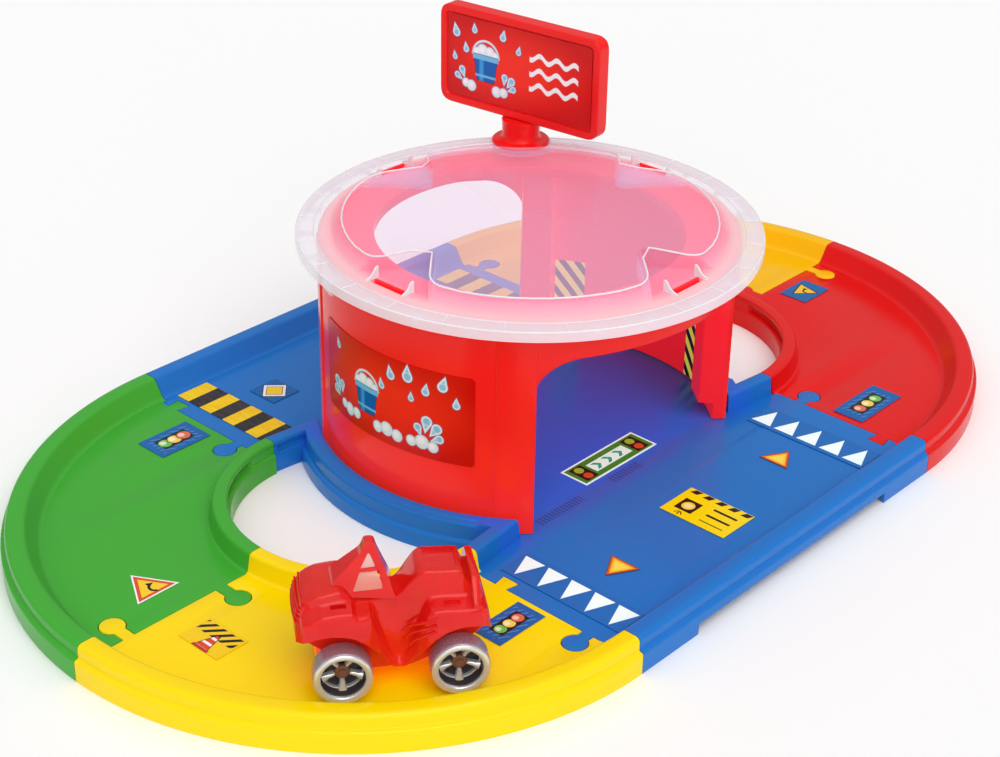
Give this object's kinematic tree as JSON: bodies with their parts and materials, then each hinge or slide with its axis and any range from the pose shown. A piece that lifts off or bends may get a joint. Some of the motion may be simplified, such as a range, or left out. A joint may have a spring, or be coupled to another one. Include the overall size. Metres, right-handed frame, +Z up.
{
  "type": "toy car wash playset",
  "caption": "Oval toy road of puzzle pieces around a round wash tower with drive-through arches, a lift-off clear roof, a turning sign and a small toy quad.",
  "frame": {"origin": "centre of the oval's box on the ground it stands on", "axes": "+X along the oval's long axis towards the red and orange-yellow end, +Y from the front straight to the back straight, +Z up"},
  "size_m": [0.634, 0.38, 0.2151],
  "materials": {
    "blue": "smooth satin injection moulded plastic",
    "green": "smooth satin injection moulded plastic",
    "yellow": "smooth satin injection moulded plastic",
    "orange_yellow": "smooth satin injection moulded plastic",
    "red": "smooth satin injection moulded plastic",
    "tower_red": "smooth glossy injection moulded plastic",
    "sign_red": "smooth glossy injection moulded plastic",
    "milky_roof": "milky see-through plastic",
    "clear_red": "tinted see-through plastic",
    "chassis_red": "smooth plastic",
    "tyre_lilac": "pearly lilac grey plastic",
    "wheel_silver": "silver coloured plastic",
    "axle_brown": "plain plastic",
    "road_print": "printed film",
    "sign_print": "printed film",
    "wall_print": "printed film",
    "striped_print": "printed film with diagonal stripes"
  },
  "bodies": {
    "base": {"center_base": "blue", "track_green": "green", "track_front_yellow": "yellow", "track_rear_yellow": "orange_yellow", "track_red": "red", "drum_walls": "tower_red", "hazard_strip_left": "striped_print", "hazard_strip_right": "striped_print", "triangle_row_left": "road_print", "triangle_row_right": "road_print", "priority_sign": "road_print", "speed_plate": "road_print", "exit_plate": "road_print", "warning_left": "road_print", "warning_right": "road_print", "light_sign_green": "road_print", "light_sign_yellow": "road_print", "light_sign_red": "road_print", "works_sign": "road_print", "bend_sign_red": "road_print", "bend_sign_green": "road_print", "wall_label_left": "wall_print", "wall_label_right": "wall_print", "post_strip_front": "striped_print", "post_strip_back": "striped_print"},
    "roof": {"roof": "milky_roof"},
    "sign": {"sign_post": "sign_red", "sign_board": "sign_red", "sign_label_front": "sign_print", "sign_label_back": "sign_print"},
    "quad": {"quad_body": "clear_red", "quad_chassis": "chassis_red"},
    "front_wheels": {"front_axle": "axle_brown", "front_outer_tyre": "tyre_lilac", "front_outer_wheel_face": "wheel_silver", "front_inner_tyre": "tyre_lilac", "front_inner_wheel_face": "wheel_silver"},
    "rear_wheels": {"rear_axle": "axle_brown", "rear_outer_tyre": "tyre_lilac", "rear_outer_wheel_face": "wheel_silver", "rear_inner_tyre": "tyre_lilac", "rear_inner_wheel_face": "wheel_silver"}
  },
  "joints": [
    {"name": "roof_lift", "type": "slide", "parent": "base", "child": "roof", "axis": [0, 0, 1], "range_m": [0, 0.04]},
    {"name": "sign_turn", "type": "hinge", "parent": "roof", "child": "sign", "pos_m": [0.07354, 0.07354, 0.1403], "axis": [0, 0, 1], "continuous": true},
    {"name": "quad_drive", "type": "hinge", "parent": "base", "child": "quad", "pos_m": [-0.127, 0, 0.009], "axis": [0, 0, 1], "range_deg": [-120, 17]},
    {"name": "front_axle_spin", "type": "hinge", "parent": "quad", "child": "front_wheels", "pos_m": [-0.23455, -0.09364, 0.0238], "axis": [-0.6157, -0.788, 0], "range_deg": [-175, 1205]},
    {"name": "rear_axle_spin", "type": "hinge", "parent": "quad", "child": "rear_wheels", "pos_m": [-0.19184, -0.12701, 0.0238], "axis": [-0.6157, -0.788, 0], "range_deg": [-175, 1205]}
  ],
  "couplings": [
    {"joint": "front_axle_spin", "follows": "quad_drive", "ratio": -10},
    {"joint": "rear_axle_spin", "follows": "quad_drive", "ratio": -10}
  ]
}
